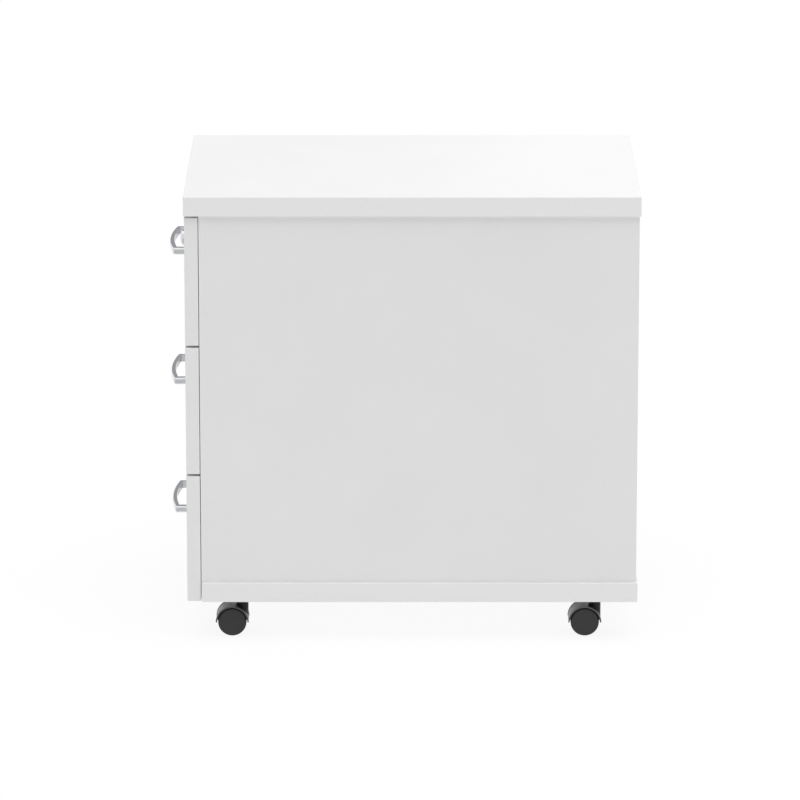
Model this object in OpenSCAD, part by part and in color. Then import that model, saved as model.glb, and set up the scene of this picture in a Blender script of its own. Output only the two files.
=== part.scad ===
// Rolling pedestal cabinet: a melamine-faced case on four twin-wheel casters, with three
// steel-sided drawers on roller runners, bow handles and a lock that bars all the drawers.
// The front faces -Y, +X is the right-hand side, and the wheels stand on Z = 0.

/* [Cabinet] */
// Width of the top and base boards
top_w = 404; // [380:1:460]
// Depth of the top board, front edge to rear edge
top_d = 600; // [520:1:700]
// Thickness of the top and base boards
board_t = 26; // [19:1:30]
// Thickness of the side and back panels
panel_t = 18; // [16:1:22]
// How far the top and base stand out beyond the side panels
side_overhang = 4.5; // [1:0.5:10]
// How far the top and base stand out behind the side and back panels
rear_overhang = 2; // [0.5:0.5:10]
// Radius of the top and base boards' corners, in plan
corner_r = 2; // [0.5:0.5:6]

/* [Case fittings] */
// Distance of the first cam fitting from each end of a side panel
fitting_inset = 60; // [45:1:90]
// Spacing from a cam fitting to the dowel beside it
dowel_spacing = 32; // [20:1:64]
// Diameter of a dowel
dowel_d = 8; // [6:1:10]
// Length of a dowel
dowel_l = 35; // [30:1:40]
// Depth of a dowel in the top or base board
dowel_bite = 12; // [8:1:14]
// Diameter of a cam housing
cam_d = 15; // [12:1:18]
// Depth of a cam housing
cam_t = 12; // [11:0.5:13]
// Distance of a cam from the end of its panel
cam_reach = 34; // [24:1:40]
// Diameter of a cam bolt
bolt_d = 6; // [5:0.5:7]
// Depth of a cam bolt in the top or base board
bolt_bite = 11; // [8:1:14]

/* [Drawer fronts] */
// Height of a drawer front
front_h = 172; // [168:1:220]
// Thickness of a drawer front
front_t = 18; // [16:1:22]
// Gap above each drawer front
front_gap = 3; // [2:0.5:5]
// How far the drawer fronts stand back from the top's front edge
front_setback = 1; // [0:0.1:3]
// Gap between the drawer fronts and the case behind them
front_clear = 0.8; // [0.5:0.1:4]
// Radius of a drawer front's corners, seen from the front
front_r = 1.5; // [0.5:0.5:4]

/* [Drawer boxes] */
// Gap between the drawer boxes and the back panel
box_rear_gap = 61; // [40:1:90]
// Height of a drawer's steel sides
box_h = 86; // [80:1:90]
// Height of a box's underside above the lower edge of its front
box_rise = 32; // [30:1:36]
// Thickness of the sheet steel in the drawer sides and rails
sheet_t = 1.5; // [1:0.1:1.8]
// Diameter of the rolled bead along the top of a drawer side
bead_d = 4; // [3:0.5:6]
// Width of the ledge that carries the drawer bottom
ledge_w = 14; // [8:1:20]
// Width of the flange that holds a drawer side to its front
flange_w = 22; // [12:1:30]
// Thickness of a drawer bottom
bottom_t = 12; // [8:1:16]
// Thickness of a drawer back
back_t = 16; // [12:1:18]
// How far a drawer back stays below the top of the drawer sides
back_drop = 6; // [2:1:12]

/* [Runners] */
// Space between a side panel and a drawer side
runner_space = 13.5; // [13:0.5:16]
// Gap between the cabinet rails and the back panel
rail_rear_gap = 45; // [10:1:60]
// Width of a rail's upper flange
rail_lip_w = 9; // [6:0.5:10]
// Distance of the rails behind the front edge of the side panels
rail_setback = 25; // [24:1:40]
// Diameter of a runner roller
roller_d = 19; // [16:0.5:20]
// Width of a runner roller
roller_w = 7; // [5:0.5:7.5]
// Diameter of the pin that a runner roller turns on
roller_pin_d = 5; // [4:0.5:6]
// Diameter of the head on a roller pin
pin_head_d = 9; // [7:0.5:11]
// Thickness of the head on a roller pin
pin_head_t = 1.2; // [0.8:0.1:1.4]
// Distance of a roller from the end of its rail or drawer side
roller_inset = 18; // [14:1:26]
// Length of a drawer box that stays inside the case when the drawer is at its stop
drawer_stay = 120; // [100:1:200]
// Height of the stop in a cabinet rail
stop_h = 8; // [4:1:10]
// Length of the stop in a cabinet rail
stop_l = 6; // [3:1:10]
// Width of the stop in a cabinet rail
stop_w = 7; // [5:0.5:7.5]

/* [Handles] */
// Distance between a handle's two screws
handle_centres = 128; // [96:1:192]
// Height of the handle's strip
handle_h = 9.3; // [8:0.1:14]
// Thickness of the handle's strip
handle_t = 6.2; // [4:0.1:7]
// Thickness of a handle's leg
leg_t = 8.5; // [6.5:0.1:9]
// Reach of the handle in front of the drawer front
handle_reach = 26.5; // [24:0.5:34]
// Radius of the bow, in plan
bow_r = 350; // [300:5:900]
// Radius of the outer corner from a leg to the bow
handle_corner_r = 4; // [2:0.5:6]
// Radius of the crook inside that corner
handle_crook_r = 1; // [0.5:0.5:4]
// Rounding of the strip's outer edges
handle_edge_r = 1.5; // [0.5:0.1:3.5]
// Distance of the top handle below the upper edge of its front
handle_drop = 73.8; // [60:0.1:85]
// How much lower each handle sits on its front than the one above it
handle_step = 3.6; // [0:0.1:6]
// Diameter of a handle screw
screw_d = 4; // [3:0.5:4.5]
// Depth of a handle screw in its leg
screw_bite = 8; // [5:0.5:9]
// Diameter of a handle screw's head
screw_head_d = 8; // [6:0.5:10]
// Thickness of a handle screw's head
screw_head_t = 2.4; // [1.5:0.1:3]

/* [Lock] */
// Distance of the lock from the right-hand edge of the top front
lock_inset = 47.5; // [40:0.5:60]
// Distance of the lock below the upper edge of the top front
lock_drop = 36; // [32:0.5:40]
// Diameter of the lock's rosette
rosette_d = 20.5; // [18.5:0.5:26]
// How far the rosette stands out of the front
rosette_t = 7; // [4:0.5:10]
// Radius of the rosette's domed face
rosette_dome_r = 18; // [14:0.5:40]
// Diameter of the lock's barrel
barrel_d = 16.5; // [14:0.5:18]
// How far the barrel comes out behind the front
barrel_tail = 4; // [2:0.5:4]
// Diameter of the lock's cylinder
plug_d = 10; // [8:0.5:12]
// Width of the keyway
key_w = 1.6; // [1:0.1:2.5]
// Height of the keyway
key_h = 7; // [5:0.5:7.5]
// Depth of the keyway
key_depth = 12; // [6:0.5:15]
// Diameter of the tang that carries the crank
tang_d = 6; // [4:0.5:7]
// Diameter of the crank's disc
crank_d = 17; // [16.5:0.5:20]
// Thickness of the crank's disc
crank_t = 3; // [2:0.5:3]
// Diameter of the crank's pin
crank_pin_d = 4; // [3:0.5:4.5]
// Length of the crank's pin
crank_pin_l = 7; // [6:0.5:8]
// Lift of the lock bar between open and locked
bar_lift = 8; // [7:0.5:9]
// Width of the lock bar
bar_w = 12; // [10:0.5:13]
// Thickness of the lock bar
bar_t = 1.9; // [1.5:0.1:2]
// Distance of the lock bar behind the front edge of the side panel
bar_setback = 3; // [2:0.5:4]
// Height of the bar's drive arm
arm_h = 12; // [10:0.5:14]
// Diameter of the stud on each drawer that the bar's hook catches
stud_d = 6; // [4:0.5:7]
// Length of a stud
stud_l = 7; // [6:0.5:8]
// Height of the studs above a box's underside
stud_rise = 53; // [48:1:58]
// Height of a hook on the lock bar
hook_h = 10; // [8:0.5:12]
// Thickness of a hook on the lock bar
hook_t = 2.5; // [1.5:0.5:3]
// Height of a keeper that guides the lock bar
keeper_h = 12; // [8:1:14]
// Wall of a keeper
keeper_t = 1.2; // [0.8:0.1:1.4]

/* [Casters] */
// Height from the floor to the underside of the base
caster_h = 54; // [52:0.5:65]
// Distance of the caster swivels from the side edges of the base
caster_side_inset = 40; // [36:1:70]
// Distance of the front casters' swivels from the front edge of the base
caster_front_inset = 53.5; // [50:0.5:90]
// Distance of the rear casters' swivels from the rear edge of the base
caster_rear_inset = 55.5; // [50:0.5:90]
// Distance from the swivel to the wheels' axle
caster_trail = 13.5; // [12:0.5:16]
// Width of a caster's hood
hood_w = 35; // [34.5:0.5:44]
// Width of the bead round each open edge of the hood
hood_bead_w = 1.6; // [1:0.1:3]
// Height of the bead round each open edge of the hood
hood_bead_t = 0.5; // [0.3:0.1:0.8]
// Thickness of the hood's shell
hood_t = 1.4; // [1:0.1:2]
// Gap between a wheel and the hood over it
hood_gap = 1.2; // [0.8:0.1:2]
// Thickness of the web between the two wheels
web_t = 10; // [9.5:0.5:12]
// Diameter of the boss that holds the axle
boss_d = 14; // [10:0.5:18]
// Diameter of the housing round the kingpin
stem_d = 16; // [14:0.5:18]
// Diameter of the kingpin
kingpin_d = 7; // [5:0.5:7.5]
// Length of the kingpin below its plate
kingpin_l = 20; // [14:0.5:24]
// Diameter of a wheel
wheel_d = 38; // [34:0.5:40]
// Width of a wheel
wheel_w = 11.3; // [9.5:0.1:11.4]
// Rounding of a wheel's inner edge
tread_r = 1.2; // [0.5:0.1:2.5]
// Rounding of a wheel's outer edge
shoulder_r = 2.6; // [1.5:0.1:4]
// Depth of the dish in a wheel's outer face
dish_depth = 0.4; // [0.2:0.1:0.8]
// Width of the flat rim round the dish
rim_w = 1; // [0.6:0.1:2]
// Diameter of the axle
axle_d = 5; // [4:0.5:6]
// Depth of the axle in each wheel
axle_bite = 8; // [6:0.5:8.5]
// Side of a caster's square mounting plate
plate_w = 42; // [38:1:48]
// Thickness of the mounting plate
plate_t = 2.5; // [2:0.1:3.5]
// Radius of the mounting plate's corners
plate_r = 5; // [2:0.5:8]
// Spacing of the four screws in a mounting plate
plate_screw_spacing = 32; // [28:0.5:34]
// Diameter of a plate screw
plate_screw_d = 4; // [3:0.5:4.5]
// Length of a plate screw in the base
plate_screw_l = 14; // [10:1:16]
// Diameter of a plate screw's head
plate_screw_head_d = 7.6; // [6.5:0.1:8.5]
// Thickness of a plate screw's head
plate_screw_head_t = 1.5; // [1:0.1:2]

/* [Clearances] */
// Radial clearance of a shaft that turns in its hole
turn_clear = 0.05; // [0.02:0.01:0.1]
// Radial clearance of a fitting in its bored hole
bore_clear = 0.1; // [0.05:0.05:0.3]
// Clearance where a roller meets its track, or a bar slides in its guide
run_clear = 0.3; // [0.2:0.05:0.5]
// Clearance where a moving sheet part passes a fixed one
pass_clear = 1; // [0.8:0.1:1.4]

/* [Hidden] */
$fn = 64;

drawer_count = 3;
caster_names = ["front_left", "front_right", "rear_left", "rear_right"];

// Places along the depth
y_top_front = (handle_reach - front_setback - top_d) / 2;
y_top_rear = y_top_front + top_d;
y_front = y_top_front + front_setback;
y_back_of_front = y_front + front_t;
y_case = y_back_of_front + front_clear;
y_case_rear = y_top_rear - rear_overhang;
y_back = y_case_rear - panel_t;

// Places up the height
drawer_pitch = front_h + front_gap;
z_base = caster_h;
z_base_top = z_base + board_t;
z_top = z_base + drawer_count * drawer_pitch;

// Places across the width, on the right-hand side
x_case = top_w / 2 - side_overhang;
x_inside = x_case - panel_t;
x_panel_mid = (x_case + x_inside) / 2;
x_wall = x_inside - runner_space;
x_wall_inner = x_wall - sheet_t;
x_web = x_inside - sheet_t;
x_bar = x_inside - run_clear - bar_t;
x_lip = x_bar - pass_clear;

// Stations of the case fittings along a side panel
bolt_ys = [y_case + fitting_inset, y_case_rear - fitting_inset];
dowel_ys = [bolt_ys[0] + dowel_spacing, bolt_ys[1] - dowel_spacing];

// Runner sizes
rail_inner_h = roller_d + 2 * run_clear + sheet_t + pass_clear;
rail_h = rail_inner_h + 2 * sheet_t;
y_rail = y_case + rail_setback;
y_rail_end = y_back - rail_rear_gap;
y_rail_roller = y_rail + roller_inset;
y_box_end = y_back - box_rear_gap;
y_drawer_roller = y_box_end - roller_inset;
drawer_travel = y_box_end - y_back_of_front - drawer_stay;
y_stop = y_drawer_roller - drawer_travel - roller_d / 2 - pass_clear;

// Handle outline, in plan: the leg's outer face and the two arcs of the bow
leg_x = handle_centres / 2 + leg_t / 2;
bow_outer_r = bow_r + handle_t / 2;
bow_inner_r = bow_r - handle_t / 2;
bow_y = bow_outer_r - handle_reach;
edge_steps = 3;
corner_steps = 6;
bow_steps = 20;

// Lock places
x_lock = x_case - lock_inset;
z_lock = z_base + (drawer_count - 1) * drawer_pitch + front_h - lock_drop;
barrel_end = front_t + barrel_tail;
crank_open_angle = -45;
crank_throw = bar_lift / (2 * sin(-crank_open_angle));
crank_slack = 0.5;
y_crank_end = y_front + barrel_end + run_clear + crank_t;
y_arm = y_crank_end + pass_clear;
y_bar = y_case + bar_setback;
y_hook = y_bar + bar_w;
y_stud = y_hook + pass_clear + stud_d / 2;
z_pin = z_lock + crank_throw * sin(crank_open_angle);
z_upper_keeper = z_pin + arm_h / 2 + bar_lift + pass_clear;

// Caster places
axle_z = wheel_d / 2;
well_d = wheel_d + 2 * hood_gap;
hood_d = well_d + 2 * hood_t;
wheel_inner_x = web_t / 2 + pass_clear / 2;
z_plate = z_base - plate_t;
z_stem_top = z_plate - run_clear;
x_caster = top_w / 2 - caster_side_inset;
caster_ys = [y_case + caster_front_inset, y_top_rear - caster_rear_inset];

melamine = "#e4e4e3";
chrome = "#c8cad0";
steel = "#b4b7ba";
zinc = "#a3a6a8";
coated_steel = "#d5d6d6";
black_plastic = "#333334";
white_plastic = "#eeeeea";
beech = "#d9b98a";

// Heights that belong to one drawer, counted from the top
function front_z(i) = z_base + (drawer_count - i) * drawer_pitch;
function box_z(i) = front_z(i) + box_rise;
function track_z(i) = box_z(i) + sheet_t;
function roller_z(i) = track_z(i) + run_clear + roller_d / 2;
function lip_z(i) = track_z(i) + 2 * run_clear + roller_d;
function floor_z(i) = box_z(i) + sheet_t + bottom_t;
function handle_z(i) = front_z(i) + front_h - handle_drop - (i - 1) * handle_step;
function stud_z(i) = box_z(i) + stud_rise;

// Solid box between two places on each axis
module block(x, y, z) {
    translate([x[0], y[0], z[0]])
        cube([x[1] - x[0], y[1] - y[0], z[1] - z[0]]);
}

// Round bars along each axis
module bar_x(x, y, z, d) {
    translate([x[0], y, z]) rotate([0, 90, 0]) cylinder(d = d, h = x[1] - x[0]);
}

module bar_y(x, y, z, d) {
    translate([x, y[0], z]) rotate([-90, 0, 0]) cylinder(d = d, h = y[1] - y[0]);
}

module bar_z(x, y, z, d) {
    translate([x, y, z[0]]) cylinder(d = d, h = z[1] - z[0]);
}

// Profile drawn in X and Z, run along Y
module along_y(y) {
    translate([0, y[1], 0]) rotate([90, 0, 0]) linear_extrude(y[1] - y[0]) children();
}

// Rectangle with round corners, centred
module rounded_rect(w, h, r) {
    square([w - 2 * r, h], center = true);
    square([w, h - 2 * r], center = true);
    for (x = [-1, 1], y = [-1, 1])
        translate([x * (w / 2 - r), y * (h / 2 - r)]) circle(r);
}

// Draws a right-hand piece, or its mirror image on the left
module on_side(side) {
    if (side == "left") mirror([1, 0, 0]) children();
    else children();
}

// Case

// Meeting lines of the side panels with the top and base: +Z points into the board
module at_panel_ends(ys) {
    for (side = ["left", "right"], y = ys)
        on_side(side) {
            translate([x_panel_mid, y, z_top]) children();
            translate([x_panel_mid, y, z_base_top]) mirror([0, 0, 1]) children();
        }
}

module fitting_bores() {
    at_panel_ends(bolt_ys) {
        bar_z(0, 0, [-cam_reach, bolt_bite + bore_clear], bolt_d + 2 * bore_clear);
        bar_x([-panel_t, cam_t - panel_t / 2 + bore_clear], 0, -cam_reach, cam_d + 2 * bore_clear);
    }
    at_panel_ends(dowel_ys)
        bar_z(0, 0, [dowel_bite - dowel_l - pass_clear, dowel_bite + bore_clear],
            dowel_d + 2 * bore_clear);
}

module cam_fittings() {
    color(zinc) at_panel_ends(bolt_ys) {
        bar_z(0, 0, [-cam_reach, bolt_bite], bolt_d);
        difference() {
            bar_x([-panel_t / 2, cam_t - panel_t / 2], 0, -cam_reach, cam_d);
            bar_z(0, 0, [-cam_reach - bolt_d / 2, 0], bolt_d + 2 * bore_clear);
        }
    }
}

module panel_dowels() {
    color(beech) at_panel_ends(dowel_ys)
        bar_z(0, 0, [dowel_bite - dowel_l, dowel_bite], dowel_d);
}

module top_panel() {
    color(melamine) difference() {
        translate([0, (y_top_front + y_top_rear) / 2, z_top])
            linear_extrude(board_t) rounded_rect(top_w, top_d, corner_r);
        fitting_bores();
    }
}

module base_panel() {
    color(melamine) difference() {
        translate([0, (y_case + y_top_rear) / 2, z_base])
            linear_extrude(board_t) rounded_rect(top_w, y_top_rear - y_case, corner_r);
        fitting_bores();
        at_caster_screws() cylinder(d = plate_screw_d + 2 * bore_clear, h = plate_screw_l + bore_clear);
    }
}

module side_panel(side) {
    color(melamine) difference() {
        on_side(side) block([x_inside, x_case], [y_case, y_case_rear], [z_base_top, z_top]);
        fitting_bores();
    }
}

module back_panel() {
    color(melamine)
        block([-x_inside, x_inside], [y_back, y_case_rear], [z_base_top, z_top]);
}

// Runner rails: a channel for the drawer's rear roller, with a roller at its own front end
module rail_profile(i) {
    translate([x_web, box_z(i)]) square([sheet_t, rail_h]);
    translate([x_wall + pass_clear, box_z(i)])
        square([x_inside - x_wall - pass_clear, sheet_t]);
    translate([x_inside - rail_lip_w, box_z(i) + rail_h - sheet_t]) square([rail_lip_w, sheet_t]);
}

module runner_rails(side) {
    color(coated_steel) on_side(side) for (i = [1:drawer_count]) {
        along_y([y_rail, y_rail_end]) rail_profile(i);
        bar_x([x_web - pass_clear - roller_w - run_clear - pin_head_t, x_inside], y_rail_roller,
            roller_z(i), roller_pin_d);
        bar_x([x_web - pass_clear - roller_w - run_clear - pin_head_t,
            x_web - pass_clear - roller_w - run_clear], y_rail_roller, roller_z(i), pin_head_d);
        block([x_inside - stop_w, x_inside], [y_stop - stop_l, y_stop], [box_z(i), track_z(i) + stop_h]);
    }
}

module roller(x, y, z) {
    difference() {
        bar_x([x, x + roller_w], y, z, roller_d);
        bar_x([x - roller_w, x + 2 * roller_w], y, z, roller_pin_d + 2 * turn_clear);
    }
}

module rail_rollers(i) {
    color(white_plastic) for (side = ["left", "right"])
        on_side(side) roller(x_web - pass_clear - roller_w, y_rail_roller, roller_z(i));
}

// Drawers

module drawer_front(i) {
    color(melamine) difference() {
        translate([0, 0, front_z(i) + front_h / 2])
            along_y([y_front, y_back_of_front]) rounded_rect(2 * x_case, front_h, front_r);
        at_handle_screws(i) bar_y(0, [-front_t, front_t * 2], 0, screw_d + 2 * bore_clear);
        if (i == 1)
            bar_y(x_lock, [y_front - front_t, y_back_of_front + front_t], z_lock,
                barrel_d + 2 * bore_clear);
    }
}

// Folded steel side: ledge under the bottom, lip over the roller, rolled bead on top
module side_profile(i) {
    translate([x_wall_inner, box_z(i)]) square([sheet_t, box_h - bead_d / 2]);
    translate([x_wall_inner - ledge_w, box_z(i)]) square([ledge_w + sheet_t, sheet_t]);
    translate([x_wall_inner, lip_z(i)]) square([x_lip - x_wall_inner, sheet_t]);
    translate([x_wall_inner + bead_d / 2, box_z(i) + box_h - bead_d / 2]) circle(d = bead_d);
}

module drawer_side(i, side) {
    color(coated_steel) on_side(side) {
        along_y([y_back_of_front, y_box_end]) side_profile(i);
        for (y = [y_back_of_front, y_box_end - sheet_t])
            block([x_wall_inner - (y == y_back_of_front ? flange_w : ledge_w), x_wall],
                [y, y + sheet_t], [floor_z(i) + bore_clear, box_z(i) + box_h - back_drop]);
        bar_x([x_wall_inner, x_wall + pass_clear + roller_w + run_clear + pin_head_t],
            y_drawer_roller, roller_z(i), roller_pin_d);
        bar_x([x_wall + pass_clear + roller_w + run_clear,
            x_wall + pass_clear + roller_w + run_clear + pin_head_t],
            y_drawer_roller, roller_z(i), pin_head_d);
        if (side == "right")
            bar_x([x_wall_inner, x_wall + stud_l], y_stud, stud_z(i), stud_d);
    }
}

module rear_rollers(i) {
    color(white_plastic) for (side = ["left", "right"])
        on_side(side) roller(x_wall + pass_clear, y_drawer_roller, roller_z(i));
}

module drawer_bottom(i) {
    color(melamine)
        block([-x_wall_inner + bore_clear, x_wall_inner - bore_clear],
            [y_back_of_front, y_box_end - sheet_t], [box_z(i) + sheet_t, floor_z(i)]);
}

module drawer_back(i) {
    color(melamine)
        block([-x_wall_inner + bore_clear, x_wall_inner - bore_clear],
            [y_box_end - sheet_t - back_t, y_box_end - sheet_t],
            [floor_z(i), box_z(i) + box_h - back_drop]);
}

// Handles

// Round corner between a leg's face and an arc of the bow: its centre and the angle where it ends
function corner_centre(x, r, arc_r) = [x - r, bow_y - sqrt(pow(arc_r - r, 2) - pow(x - r, 2))];
function corner_end(x, r, arc_r) = -acos((x - r) / (arc_r - r));
function on_arc(centre, r, angle) = centre + r * [cos(angle), sin(angle)];

// Section of the strip between an outer and an inner point in plan, rounded on its outer edges
function handle_section(outer, angle, inner) = concat(
    [[inner[0], inner[1], handle_h / 2], [inner[0], inner[1], -handle_h / 2]],
    [for (edge = [-1, 1], k = [0:edge_steps])
        let (turn = 90 * (k / edge_steps - (edge < 0 ? 1 : 0)),
             p = on_arc(outer, -handle_edge_r * (1 - cos(turn)), angle))
            [p[0], p[1], edge * (handle_h / 2 - handle_edge_r) + handle_edge_r * sin(turn)]]);

module at_handle_screws(i) {
    for (x = [-1, 1]) translate([x * handle_centres / 2, y_front, handle_z(i)]) children();
}

// The section swept along leg, corner, bow, corner and leg: a leg is thicker than the bow
module handle_strip() {
    inner_x = leg_x - leg_t;
    outer_end = corner_end(leg_x, handle_corner_r, bow_outer_r);
    inner_end = corner_end(inner_x, handle_crook_r, bow_inner_r);
    outer_centre = corner_centre(leg_x, handle_corner_r, bow_outer_r);
    inner_centre = corner_centre(inner_x, handle_crook_r, bow_inner_r);
    right = concat([[[leg_x, 0], 0, [inner_x, 0]]],
        [for (k = [0:corner_steps]) let (a = outer_end * k / corner_steps, b = inner_end * k / corner_steps)
            [on_arc(outer_centre, handle_corner_r, a), a, on_arc(inner_centre, handle_crook_r, b)]]);
    bow = [for (k = [1:bow_steps - 1]) let (share = k / bow_steps,
            a = outer_end - (180 + 2 * outer_end) * share, b = inner_end - (180 + 2 * inner_end) * share)
        [on_arc([0, bow_y], bow_outer_r, a), a, on_arc([0, bow_y], bow_inner_r, b)]];
    left = [for (k = [len(right) - 1:-1:0]) let (s = right[k])
        [[-s[0][0], s[0][1]], -180 - s[1], [-s[2][0], s[2][1]]]];
    stations = concat(right, bow, left);
    points = [for (s = stations) each handle_section(s[0], s[1], s[2])];
    n = 2 * edge_steps + 4;
    last = len(stations) - 1;
    sides = [for (i = [0:last - 1], j = [0:n - 1]) let (a = i * n + j, b = i * n + (j + 1) % n)
        each [[a, b, b + n], [a, b + n, a + n]]];
    polyhedron(points, concat(sides, [[for (j = [n - 1:-1:0]) j], [for (j = [0:n - 1]) last * n + j]]));
}

module handle(i) {
    color(chrome) difference() {
        translate([0, y_front, handle_z(i)]) handle_strip();
        at_handle_screws(i)
            bar_y(0, [-screw_bite - pass_clear, front_t], 0, screw_d + 2 * bore_clear);
    }
}

module handle_screws(i) {
    color(zinc) at_handle_screws(i) {
        bar_y(0, [-screw_bite, front_t], 0, screw_d);
        bar_y(0, [front_t, front_t + screw_head_t], 0, screw_head_d);
    }
}

// Lock

module lock_housing() {
    color(chrome) translate([x_lock, y_front, z_lock]) difference() {
        union() {
            intersection() {
                bar_y(0, [-rosette_t, 0], 0, rosette_d);
                translate([0, rosette_dome_r - rosette_t, 0]) sphere(rosette_dome_r);
            }
            bar_y(0, [0, barrel_end], 0, barrel_d);
        }
        bar_y(0, [-2 * rosette_t, barrel_end + rosette_t], 0, plug_d + 2 * turn_clear);
    }
}

module lock_cylinder() {
    plug_face = -rosette_t + (rosette_dome_r - sqrt(pow(rosette_dome_r, 2) - pow(plug_d / 2, 2)));
    color(steel) translate([x_lock, y_front, z_lock]) difference() {
        union() {
            bar_y(0, [plug_face, barrel_end + run_clear], 0, plug_d);
            bar_y(0, [barrel_end, barrel_end + run_clear + crank_t], 0, tang_d);
        }
        block([-key_w / 2, key_w / 2], [plug_face - key_depth, plug_face + key_depth],
            [-key_h / 2, key_h / 2]);
    }
}

module lock_crank() {
    color(zinc) translate([x_lock, y_front + barrel_end + run_clear, z_lock]) {
        difference() {
            bar_y(0, [0, crank_t], 0, crank_d);
            bar_y(0, [-crank_t, 2 * crank_t], 0, tang_d + 2 * turn_clear);
        }
        rotate([0, -crank_open_angle, 0])
            bar_y(crank_throw, [0, crank_t + crank_pin_l], 0, crank_pin_d);
    }
}

// Lock bar: a strip up the right-hand side, with a slotted arm that the crank's pin lifts
// and one hook for the stud of each drawer
module lock_bar() {
    pin_x = [x_lock + crank_throw * cos(crank_open_angle), x_lock + crank_throw];
    slot_h = crank_pin_d + 2 * crank_slack;
    color(steel) difference() {
        union() {
            block([x_bar, x_bar + bar_t], [y_bar, y_hook],
                [box_z(drawer_count), z_upper_keeper + keeper_h + pass_clear]);
            block([x_lock - crank_throw, x_bar + bar_t], [y_arm, y_arm + bar_t],
                [z_pin - arm_h / 2, z_pin + arm_h / 2]);
            for (i = [1:drawer_count])
                block([x_wall + 2 * pass_clear, x_bar + bar_t], [y_hook - hook_t, y_hook],
                    [stud_z(i) - stud_d / 2 - pass_clear - hook_h, stud_z(i) - stud_d / 2 - pass_clear]);
        }
        along_y([y_arm - bar_t, y_arm + 2 * bar_t]) {
            for (x = pin_x) translate([x, z_pin]) circle(d = slot_h);
            translate([pin_x[0], z_pin - slot_h / 2]) square([pin_x[1] - pin_x[0], slot_h]);
        }
    }
}

// Keepers: two between the drawer boxes and one at the bar's upper end
module lock_bar_keepers() {
    z_above_boxes = [for (i = [2:drawer_count]) box_z(i) + box_h + keeper_h];
    color(white_plastic) for (z = concat(z_above_boxes, [z_upper_keeper])) difference() {
        block([x_bar - run_clear - keeper_t, x_inside],
            [y_bar - run_clear - keeper_t, y_hook + run_clear + keeper_t], [z, z + keeper_h]);
        block([x_bar - run_clear, x_inside], [y_bar - run_clear, y_hook + run_clear],
            [z - keeper_h, z + 2 * keeper_h]);
    }
}

// Casters

function caster_x(name) = (name == "front_left" || name == "rear_left") ? -x_caster : x_caster;
function caster_y(name) = (name == "front_left" || name == "front_right") ? caster_ys[0] : caster_ys[1];

module at_caster(name) {
    translate([caster_x(name), caster_y(name), 0]) children();
}

module at_caster_screws() {
    for (name = caster_names, x = [-1, 1], y = [-1, 1])
        at_caster(name)
            translate([x * plate_screw_spacing / 2, y * plate_screw_spacing / 2, z_base]) children();
}

module caster_plates() {
    color(zinc) difference() {
        for (name = caster_names) at_caster(name) {
            translate([0, 0, z_plate]) linear_extrude(plate_t) rounded_rect(plate_w, plate_w, plate_r);
            bar_z(0, 0, [z_plate - kingpin_l, z_plate], kingpin_d);
        }
        at_caster_screws()
            translate([0, 0, -2 * plate_t]) cylinder(d = plate_screw_d + 2 * bore_clear, h = 3 * plate_t);
    }
}

module caster_screws() {
    color(steel) at_caster_screws() {
        translate([0, 0, -plate_t]) cylinder(d = plate_screw_d, h = plate_t + plate_screw_l);
        translate([0, 0, -plate_t - plate_screw_head_t])
            cylinder(d = plate_screw_head_d, h = plate_screw_head_t);
    }
}

// Hood: a half-round shell over both wheels, a web between them and a housing for the kingpin
module caster_hood(name) {
    color(black_plastic) at_caster(name) difference() {
        union() {
            intersection() {
                union() {
                    bar_x([-hood_w / 2, hood_w / 2], -caster_trail, axle_z, hood_d);
                    for (x = [-hood_w / 2, hood_w / 2 - hood_bead_w])
                        bar_x([x, x + hood_bead_w], -caster_trail, axle_z, hood_d + 2 * hood_bead_t);
                }
                block([-hood_w, hood_w], [-caster_trail - hood_d, hood_d], [axle_z, axle_z + hood_d]);
            }
            bar_x([-web_t / 2, web_t / 2], -caster_trail, axle_z, boss_d);
            bar_z(0, 0, [axle_z, z_stem_top], stem_d);
        }
        for (x = [-web_t / 2 - hood_w, web_t / 2])
            bar_x([x, x + hood_w], -caster_trail, axle_z, well_d);
        bar_x([-hood_w, hood_w], -caster_trail, axle_z, axle_d + turn_clear);
        bar_z(0, 0, [z_plate - kingpin_l - pass_clear, z_plate], kingpin_d + 2 * turn_clear);
    }
}

module caster_axle(name) {
    color(steel) at_caster(name)
        bar_x([-wheel_inner_x - axle_bite, wheel_inner_x + axle_bite], -caster_trail, axle_z, axle_d);
}

// Wheel, turned about its axle: blind bore from inside, rounded shoulder and dished face outside
module wheel_outline() {
    r = wheel_d / 2;
    difference() {
        union() {
            square([r - shoulder_r, wheel_w]);
            square([r - tread_r, wheel_w - shoulder_r]);
            translate([0, tread_r]) square([r, wheel_w - tread_r - shoulder_r]);
            translate([r - tread_r, tread_r]) circle(tread_r);
            translate([r - shoulder_r, wheel_w - shoulder_r]) circle(shoulder_r);
        }
        square([axle_d / 2 + turn_clear, axle_bite + pass_clear / 2]);
        translate([0, wheel_w - dish_depth]) square([r - shoulder_r - rim_w, wheel_w]);
    }
}

module caster_wheel(name, side) {
    color(black_plastic) at_caster(name) on_side(side)
        translate([wheel_inner_x, -caster_trail, axle_z])
            rotate([0, 90, 0]) rotate_extrude() wheel_outline();
}

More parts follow.
